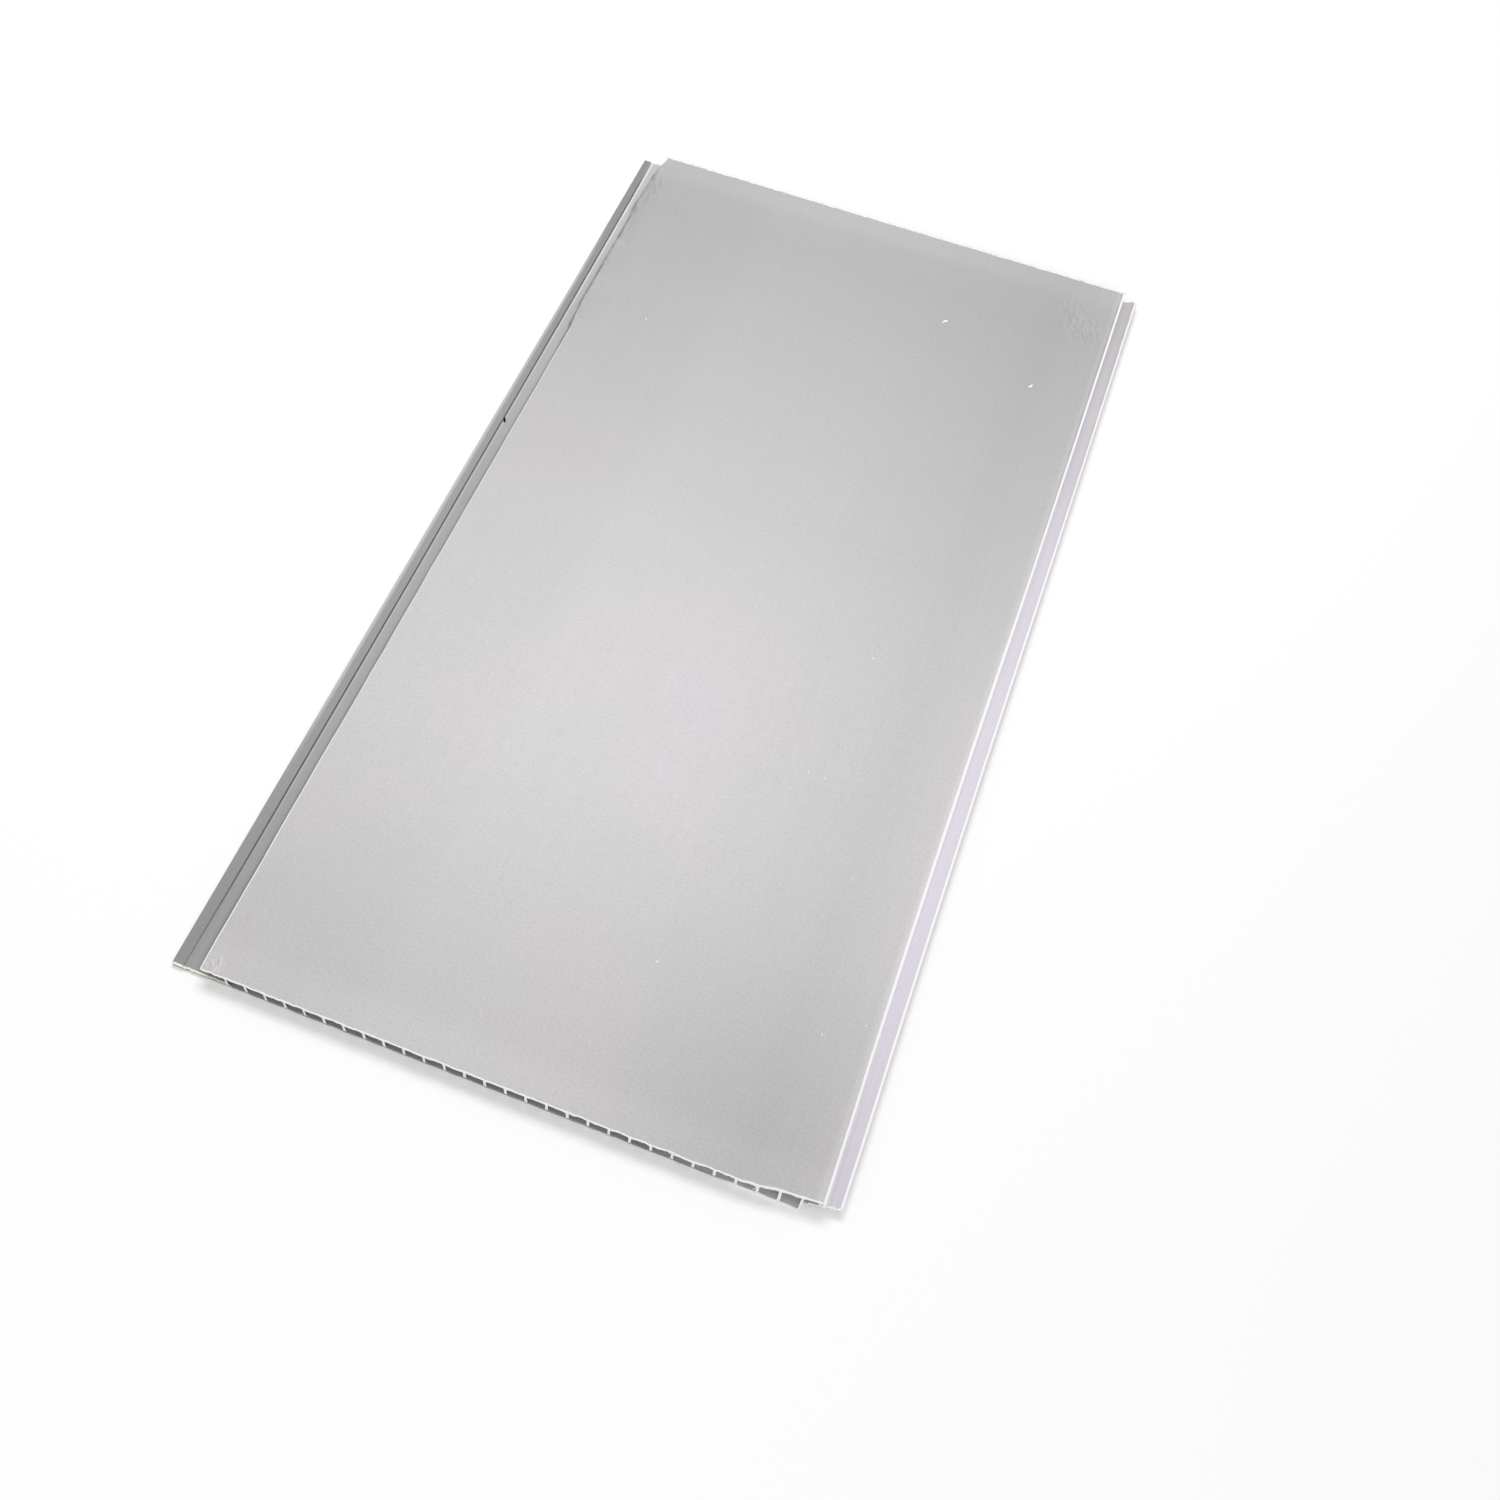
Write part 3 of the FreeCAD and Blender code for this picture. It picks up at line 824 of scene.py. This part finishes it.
def painted_light_and_bare_amount(x, y, z, crushed):
    """Painted highlights on the lip's edge, beside the sighting line and on the band's edge, painted light
    against the shade at the line's ends and the tongue's root, and white along the face's edge, partly
    rubbed bare and partly painted highlight.
    """
    lip = shares(x, LIP_X + LIP_HIGHLIGHT + 0.15, LIP_X + LIP_HIGHLIGHT - 0.15) * (z > UNDER_FACE_Z + 0.1)
    lip *= (1 - crushed) * (1 - 0.45 * shares(y, 50, 150))
    by_line = hump(x - SCORE_X, 0.45, 0.35) * (z < FLANGE_Z + 0.1) * (x >= SCORE_X)
    by_line *= 0.25 * shares(y, 30, 90) + 0.75 * shares(y, 330, 430) * (0.7 + wander(y, 9, 0.25))
    band_edge = 0.35 * shares(x, 1.9, 0.9) * (z > BAND_Z - 0.1) * shares(y, 90, 130) * shares(y, 450, 410)
    line_ends = (np.abs(x - BAND_X) < 0.45) * (z < BAND_Z + 0.1) * (z > SCORE_Z - 0.3)
    line_ends = line_ends * np.maximum(0.3 * shares(y, 482, 493), 0.08 * shares(y, 30, 5))
    tongue_root = shares(x, FACE_END_X + 1.1, FACE_END_X + 0.3) * (x > FACE_END_X - 0.1)
    tongue_root *= (z > TONGUE_UNDER_Z + 0.3) * (0.3 + 0.6 * shares(y, 400, 300))
    face_edge = (x > FACE_END_X - WIDE_WHITE_EDGE + 0.3) * (z > UNDER_FACE_Z + 0.1)
    face_edge = face_edge * shares(y, 40, 90) * shares(y, 300, 255)
    return np.maximum.reduce([lip, by_line, band_edge, line_ends, tongue_root, face_edge])


def add_painted_light_and_wear(mesh, straight, out, droop):
    """Say where the strip takes painted shade, and where it takes painted highlights, painted light or
    rubbed white.
    """
    x, y, z = straight.T
    crushed = shares(y, CRUMPLE_START - 14, CRUMPLE_START + 16)
    painted_shade = painted_shade_amount(x, y, z, crushed, out, droop)
    painted_light_and_bare = painted_light_and_bare_amount(x, y, z, crushed)
    for name, amount in (("painted_shade", painted_shade), ("painted_light_and_bare", painted_light_and_bare)):
        layer = mesh.attributes.new(name, "FLOAT", "POINT")
        layer.data.foreach_set("value", np.clip(amount, 0, 1).astype(np.float32))


strip = build_strip()
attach(strip, "root")
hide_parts("ceiling_strip")


# Burrs, shavings and grit, which stay inside the strip's own box

EDGE_ROOM = 0.02
TOP_ROOM = 0.005
EDGE_CRUMBS = 130
FRINGE_CRUMBS = 110


def lump(cage, centre, size, turn, lean=0.0, seed=0):
    """Add a small irregular crumb to a mesh, its size across, along and up in millimetres."""
    made = bmesh.ops.create_icosphere(cage, subdivisions=2, radius=1.0)["verts"]
    rotation = Quaternion((0, 0, 1), math.radians(turn)) @ Quaternion((0, 1, 0), math.radians(lean))
    for vertex in made:
        rough = 0.75 + 0.5 * noise.noise(vertex.co * 1.7 + Vector((seed * 3.1, seed, 0)))
        shape = vertex.co * rough
        shape = Vector((shape.x * size[0], shape.y * size[1], shape.z * size[2])) / 2
        vertex.co = Vector(centre) + rotation @ shape


def curl(cage, centre, length, width, thick, turn, bow, seed, steps=8):
    """Add a thin curved shaving that lies flat: pointed ends, and bowed sideways."""
    rotation = Quaternion((0, 0, 1), math.radians(turn))
    rows = []
    for i in range(steps + 1):
        share = i / steps
        half = width / 2 * max(0.12, math.sin(math.pi * min(0.97, 0.06 + share * 0.9)) ** 0.6)
        half *= 1 + 0.25 * noise.noise(Vector((share * 4, seed, 0.5)))
        middle = Vector(((share - 0.5) * length, bow * math.sin(math.pi * share), 0))
        rise = thick * (0.7 + 0.3 * math.sin(math.pi * share))
        ring = [(-half, 0), (-half * 0.6, rise), (half * 0.6, rise), (half, 0)]
        rows.append([cage.verts.new(Vector(centre) + rotation @ (middle + Vector((0, side, up))))
                     for side, up in ring])
    for first, second in zip(rows, rows[1:]):
        for j in range(4):
            cage.faces.new((first[j], first[(j + 1) % 4], second[(j + 1) % 4], second[j]))
    cage.faces.new(rows[0][::-1])
    cage.faces.new(rows[-1])


def finished_piece(name, cage, material):
    """Turn a mesh in section millimetres into a piece of the strip in the row frame."""
    bmesh.ops.recalc_face_normals(cage, faces=cage.faces)
    for face in cage.faces:
        face.smooth = True
    mesh = mesh_from(name, cage)
    least = (EDGE_ROOM, EDGE_ROOM, EDGE_ROOM)
    places = np.clip(places_of(mesh), least, (WIDTH - EDGE_ROOM, LENGTH - EDGE_ROOM, THICKNESS - TOP_ROOM))
    mesh.vertices.foreach_set("co", to_frame(places).ravel())
    mesh.materials.append(material)
    mesh.update()
    piece = placed(name, mesh)
    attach(piece, "root")
    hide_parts("ceiling_strip")


# Burrs at the near cut: centre, size, turn and lean of each crumb, in millimetres and degrees
BURRS = [
    ((19.4, 0.4, 6.5), (1.9, 0.6, 0.7), 10, 0),
    ((21.3, 0.4, 6.4), (1.5, 0.6, 0.9), -15, 0),
    ((24.0, 0.3, 4.2), (1.1, 0.5, 4.6), 0, -6),
    ((24.6, 0.3, 1.2), (2.0, 0.5, 0.9), 0, 0),
    ((239.4, 0.6, 6.6), (1.6, 0.9, 0.9), 20, 0),
    ((239.2, 0.4, 5.2), (1.3, 0.7, 2.4), 0, 18),
    ((238.6, 0.3, 3.4), (0.9, 0.6, 2.4), 0, 14),
    ((242.6, 0.3, 0.9), (1.6, 0.6, 0.6), -10, 0),
    ((245.6, 0.3, 0.6), (3.4, 0.5, 0.5), 4, 0),
    ((244.3, 2.2, 6.7), (1.9, 0.8, 0.6), -25, 0),
    ((246.5, 2.4, 6.5), (2.1, 0.7, 0.7), -38, 0),
    ((256.2, 2.1, 5.5), (0.7, 0.6, 2.0), 0, 6),
    ((257.3, 1.8, 3.0), (1.2, 0.7, 0.7), 20, 0),
    ((258.2, 2.2, 3.7), (1.3, 0.9, 0.9), 0, 0),
    ((257.9, 3.0, 6.9), (1.7, 0.6, 0.5), 8, 0),
    ((260.5, 3.3, 6.8), (2.0, 0.6, 0.6), -6, 0),
    ((262.6, 3.4, 6.5), (1.7, 0.9, 1.2), 15, 0),
    ((262.9, 3.2, 5.2), (2.2, 0.8, 2.2), 0, 8),
    ((264.9, 3.6, 3.6), (1.5, 0.7, 0.5), 20, 0),
    ((266.4, 4.3, 3.5), (1.6, 0.7, 0.6), -20, 0),
    ((267.9, 4.6, 3.5), (1.4, 0.8, 0.6), 35, 0),
    ((268.2, 3.9, 3.1), (1.0, 0.5, 0.5), 10, 0),
    ((270.0, 4.8, 3.4), (1.3, 1.0, 0.9), 0, 0),
    ((270.9, 4.7, 3.3), (0.8, 0.7, 0.7), 30, 0),
]


def near_edge(x):
    """Where the near cut runs along the top of the face."""
    return NEAR_INSET + float(near_cut(np.array([x]), np.array([THICKNESS]))[0])


burrs = bmesh.new()
for number, (centre, size, turn, lean) in enumerate(BURRS):
    lump(burrs, centre, size, turn, lean, seed=number)
for number in range(EDGE_CRUMBS):
    x = LIP_X + 0.8 + (FACE_END_X - LIP_X - 1.6) * rng.uniform(0, 1) ** 1.5
    place = (x, near_edge(x) + rng.uniform(0, 0.35), FACE_Z - rng.uniform(0.1, 0.35))
    size = (rng.uniform(0.6, 2.4), rng.uniform(0.35, 0.8), rng.uniform(0.25, 0.4))
    lump(burrs, place, size, rng.uniform(-20, 20), seed=number + 40)
finished_piece("saw_burrs", burrs, burr_material)

fringe = bmesh.new()
for number in range(FRINGE_CRUMBS):
    x = rng.uniform(LIP_X - 1, FACE_END_X + 0.4)
    lump(fringe, (x, LENGTH - FAR_INSET + rng.uniform(0.05, 0.6), FACE_Z - rng.uniform(0.1, 0.5)),
         (rng.uniform(0.5, 2.4), rng.uniform(0.3, 0.8), 0.25), rng.uniform(-35, 35), seed=number + 90)
finished_piece("far_fringe", fringe, fringe_material)

# Shavings on the face: across, along, length, width, turn and bow, in millimetres and degrees
SHAVINGS = [
    (184.0, 443.3, 3.2, 1.6, 45, 0.30),
    (234.5, 418.5, 3.0, 1.4, 60, -0.50),
    (210.6, 235.5, 1.7, 0.8, 100, 0.15),
    (202.3, 170.5, 1.5, 0.7, 80, 0.10),
    (209.4, 170.3, 1.4, 0.7, 85, -0.10),
    (234.2, 130.8, 1.2, 0.6, 95, 0.08),
    (174.4, 68.2, 1.3, 0.8, 70, 0.10),
    (258.0, 73.5, 1.0, 0.6, 80, 0.05),
    (243.4, 63.9, 1.2, 0.6, 120, 0.10),
    (45.7, 385.1, 2.0, 0.5, 95, 0.12),
]
shavings = bmesh.new()
for number, (x, y, length, width, turn, bow) in enumerate(SHAVINGS):
    curl(shavings, (x, y, FACE_Z - 0.01), length, width, FACE_SINK, turn, bow, number)
finished_piece("face_shavings", shavings, burr_material)

grit = bmesh.new()
lump(grit, (5.7, 302.1, FLANGE_Z + 0.15), (3.8, 1.4, 0.8), 112, seed=3)
finished_piece("dark_grit", grit, grit_material)

# Floor and light
FLOOR_SIZE = 12.0
FLOOR_GAP = 0.2 * MM
FLOOR_GREY = 0.9
FLOOR_GLOW = 0.17
SKY_STRENGTH = 0.42


def camera_sees(tree):
    """1 for what the camera sees, also in reflections, and 0 for the light that falls on things."""
    path = add(tree, "LightPath").outputs
    seen = maths(tree, "MAXIMUM", path["Is Camera Ray"], path["Is Glossy Ray"])
    return maths(tree, "MAXIMUM", seen, path["Is Transmission Ray"])


def build_floor():
    """A wide pale floor that shows white where it is lit and keeps the strip's shadow."""
    cage = bmesh.new()
    bmesh.ops.create_grid(cage, x_segments=24, y_segments=24, size=FLOOR_SIZE / 2)
    mesh = mesh_from("floor", cage)
    material, tree, output = new_tree("pale_floor")
    matt = add(tree, "BsdfDiffuse", {"Color": (FLOOR_GREY, FLOOR_GREY, FLOOR_GREY, 1.0)})
    glow = add(tree, "Emission", {"Strength": ramp(tree, camera_sees(tree), 0, 1, 0, FLOOR_GLOW)})
    both = add(tree, "AddShader", {0: matt.outputs[0], 1: glow.outputs[0]})
    tree.links.new(both.outputs[0], output.inputs["Surface"])
    mesh.materials.append(material)
    return placed("floor", mesh)


floor = build_floor()
floor.location.z = low.z - FLOOR_GAP


def build_world():
    """Even light from all round, which the camera sees as plain white."""
    world = bpy.data.worlds.new("studio")
    bpy.context.scene.world = world
    world.use_nodes = True
    tree = world.node_tree
    tree.nodes.clear()
    sky = add(tree, "Background", {"Color": (1, 1, 1, 1), "Strength": SKY_STRENGTH})
    white = add(tree, "Background", {"Color": (1, 1, 1, 1), "Strength": 1.0})
    chosen = add(tree, "MixShader", {0: camera_sees(tree), 1: sky.outputs[0], 2: white.outputs[0]})
    add(tree, "OutputWorld", {"Surface": chosen.outputs[0]})


def soft_lamp(name, place, target, size, power):
    """A soft box, wide and high as size says, that faces its target."""
    light = bpy.data.lights.new(name, "AREA")
    light.shape = "RECTANGLE"
    light.size, light.size_y = size
    light.energy = power
    lamp = placed(name, light)
    lamp.location = place
    lamp.rotation_mode = "QUATERNION"
    lamp.rotation_quaternion = (Vector(target) - Vector(place)).to_track_quat("-Z", "Y")


build_world()
soft_lamp("main_lamp", place=(-0.2802, 0.72, 1.36), target=(-0.0202, -0.07, 0.0), size=(1.1, 0.6),
          power=12.5)
soft_lamp("front_lamp", place=(0.25, -1.6, 1.0), target=(0.0, -0.1, 0.0), size=(0.8, 0.8), power=9.0)

# Camera, as the photograph has it
CAMERA_PLACE = Vector((0.10428, -0.40794, 0.57508))
CAMERA_TARGET = Vector((0.01447, -0.09361, 0.0075))
CAMERA_ROLL = math.radians(5.5756)
CAMERA_LENS = 37.713
CAMERA_SENSOR = 36.0
CAMERA_SHIFT = (0.04683, 0.00555)


def build_camera():
    """The photograph's own view of the strip."""
    data = bpy.data.cameras.new("camera")
    data.sensor_fit = "HORIZONTAL"
    data.sensor_width = CAMERA_SENSOR
    data.lens = CAMERA_LENS
    data.shift_x, data.shift_y = CAMERA_SHIFT
    camera = placed("camera", data)
    camera.location = CAMERA_PLACE
    camera.rotation_mode = "QUATERNION"
    facing = (CAMERA_TARGET - CAMERA_PLACE).to_track_quat("-Z", "Y")
    camera.rotation_quaternion = facing @ Quaternion((0, 0, 1), CAMERA_ROLL)
    bpy.context.scene.camera = camera


build_camera()
bpy.context.scene.view_settings.view_transform = "Standard"
